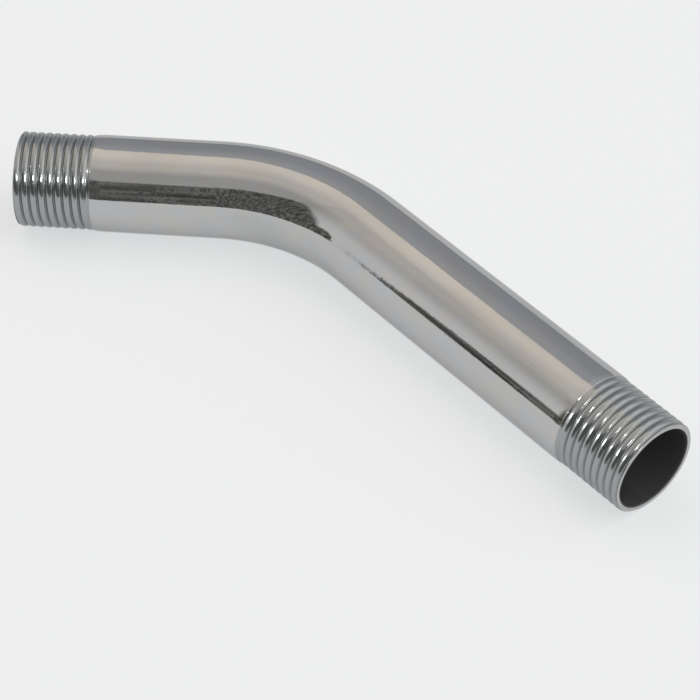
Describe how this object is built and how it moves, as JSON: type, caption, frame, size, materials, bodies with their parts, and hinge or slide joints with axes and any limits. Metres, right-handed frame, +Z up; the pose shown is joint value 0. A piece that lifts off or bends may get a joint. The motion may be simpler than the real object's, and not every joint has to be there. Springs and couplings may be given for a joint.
{
  "type": "shower arm",
  "caption": "Bent chrome-plated tube that carries water from a wall outlet to a shower head, with a male pipe thread cut on each open end.",
  "frame": {"origin": "middle of the open end of the long leg, the one that screws into the wall, on the tube's axis", "axes": "+Y along the long leg from its open end towards the bend; the short leg turns 45 degrees from there towards -X; +Z up, square to the plane of the bend, as the arm lies on a table"},
  "size_m": [0.0627, 0.1575, 0.0214],
  "materials": {
    "polished_chrome": "bright polished chrome plate on brass"
  },
  "bodies": {
    "root": {"shower_arm": "polished_chrome"}
  },
  "joints": []
}
